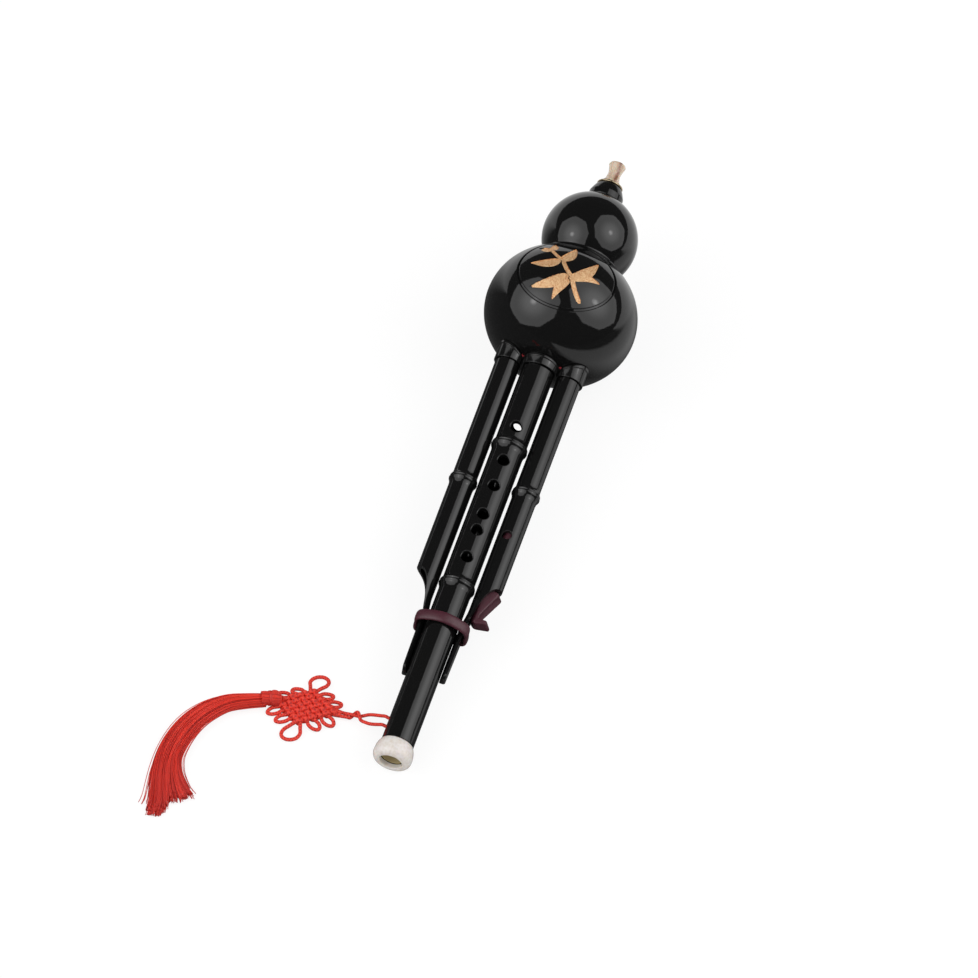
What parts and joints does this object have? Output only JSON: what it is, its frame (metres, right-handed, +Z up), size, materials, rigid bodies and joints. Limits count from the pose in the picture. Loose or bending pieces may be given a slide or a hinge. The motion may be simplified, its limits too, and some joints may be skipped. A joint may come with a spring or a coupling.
{
  "type": "gourd flute",
  "caption": "Lacquered gourd flute with a fingered melody pipe, drone pipes on both sides, a pale foot cap, a horn mouthpiece and a red knotted tassel.",
  "frame": {"origin": "under the middle of the resting instrument's box, tassel left out, on the surface it lies on", "axes": "+X level along the pipes from the foot to the mouthpiece, +Y to the side of the tassel, +Z up, to the finger holes"},
  "size_m": [0.4705, 0.1629, 0.0835],
  "materials": {
    "lacquered_gourd": "polished black lacquer",
    "lacquered_bamboo": "polished black lacquer",
    "lacquered_hardwood": "polished black lacquer",
    "pale_resin": "polished, like pale jade",
    "ox_horn": "turned and polished, streaked",
    "cork": "natural",
    "ring_metal": "polished",
    "reed_brass": "satin sheet",
    "burgundy_rubber": "moulded, satin",
    "red_thread": "silky thread",
    "red_cord": "braided silky cord",
    "gilding": "gold paint in an engraved line"
  },
  "bodies": {
    "gourd": {"gourd_body": "lacquered_gourd", "neck_ferrule": "lacquered_hardwood", "ferrule_ring": "ring_metal", "pipe_seat": "lacquered_hardwood", "seat_gasket": "red_thread"},
    "mouthpiece_tip": {"mouthpiece": "ox_horn", "mouthpiece_cork": "cork"},
    "melody": {"melody_pipe": "lacquered_bamboo", "foot_cap": "pale_resin", "melody_lapping": "red_thread", "melody_reed": "reed_brass", "lower_cord_strand": "red_cord", "upper_cord_strand": "red_cord", "cord_bight": "red_cord", "woven_knot": "red_cord", "tassel_head": "red_thread", "tassel_skirt": "red_thread"},
    "left_drone": {"left_drone_pipe": "lacquered_bamboo", "left_drone_lapping": "red_thread", "left_drone_reed": "reed_brass"},
    "right_drone": {"right_drone_pipe": "lacquered_bamboo", "right_drone_lapping": "red_thread", "right_drone_reed": "reed_brass"},
    "plug": {"drone_plug": "burgundy_rubber"},
    "band": {"rubber_band": "burgundy_rubber"}
  },
  "joints": [
    {"name": "mouthpiece_slide", "type": "slide", "parent": "gourd", "child": "mouthpiece_tip", "axis": [0.9915, 0, 0.1299], "range_m": [0, 0.01]},
    {"name": "melody_pipe_slide", "type": "slide", "parent": "gourd", "child": "melody", "axis": [-0.9915, 0, -0.1299], "range_m": [0, 0.03]},
    {"name": "left_drone_slide", "type": "slide", "parent": "gourd", "child": "left_drone", "axis": [-0.9915, 0, -0.1299], "range_m": [0, 0.03]},
    {"name": "right_drone_slide", "type": "slide", "parent": "gourd", "child": "right_drone", "axis": [-0.9915, 0, -0.1299], "range_m": [0, 0.03]},
    {"name": "drone_plug_slide", "type": "slide", "parent": "right_drone", "child": "plug", "axis": [-0.9915, 0, -0.1299], "range_m": [0, 0.034]},
    {"name": "rubber_band_slide", "type": "slide", "parent": "melody", "child": "band", "axis": [-0.9915, 0, -0.1299], "range_m": [0, 0.031]}
  ],
  "couplings": [
    {"joint": "left_drone_slide", "follows": "melody_pipe_slide", "ratio": 1},
    {"joint": "right_drone_slide", "follows": "melody_pipe_slide", "ratio": 1},
    {"joint": "rubber_band_slide", "follows": "drone_plug_slide", "ratio": 0.9}
  ]
}
